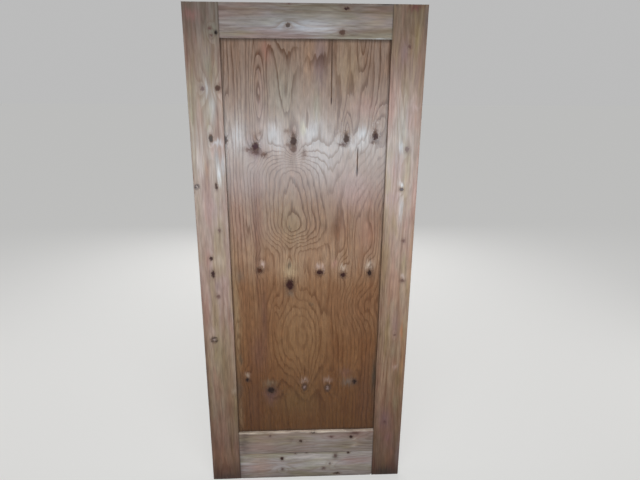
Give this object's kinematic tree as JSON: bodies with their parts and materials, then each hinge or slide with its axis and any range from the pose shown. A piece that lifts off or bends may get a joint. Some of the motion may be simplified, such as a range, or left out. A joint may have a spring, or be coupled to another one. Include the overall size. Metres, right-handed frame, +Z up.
{
  "type": "barn door",
  "caption": "Rectangular wooden door leaf: two full-height stiles, a top rail and a deep two-board bottom rail around one recessed flat plywood panel, with doweled corner joints.",
  "frame": {"origin": "on the bottom edge, half way across the width and half way through the thickness", "axes": "+Z up along the leaf's height, +X across its width from the left stile to the right stile, +Y through its thickness from the front face to the back face"},
  "size_m": [0.838, 0.044, 1.981],
  "materials": {
    "stile_pine": "knotty pine, thin worn varnish, weathered",
    "rail_pine": "knotty pine, thin worn varnish, weathered grey",
    "pine_plywood": "rotary-cut knotty pine face, semi-gloss varnish",
    "dowel_beech": "plain beech, fluted"
  },
  "bodies": {
    "root": {"left_stile": "stile_pine", "right_stile": "stile_pine", "top_rail": "rail_pine", "bottom_rail_upper_board": "rail_pine", "bottom_rail_lower_board": "rail_pine", "panel": "pine_plywood", "top_rail_dowel_left_lower": "dowel_beech", "top_rail_dowel_left_upper": "dowel_beech", "top_rail_dowel_right_lower": "dowel_beech", "top_rail_dowel_right_upper": "dowel_beech", "upper_board_dowel_left_lower": "dowel_beech", "upper_board_dowel_left_upper": "dowel_beech", "upper_board_dowel_right_lower": "dowel_beech", "upper_board_dowel_right_upper": "dowel_beech", "lower_board_dowel_left_lower": "dowel_beech", "lower_board_dowel_left_upper": "dowel_beech", "lower_board_dowel_right_lower": "dowel_beech", "lower_board_dowel_right_upper": "dowel_beech"}
  },
  "joints": []
}
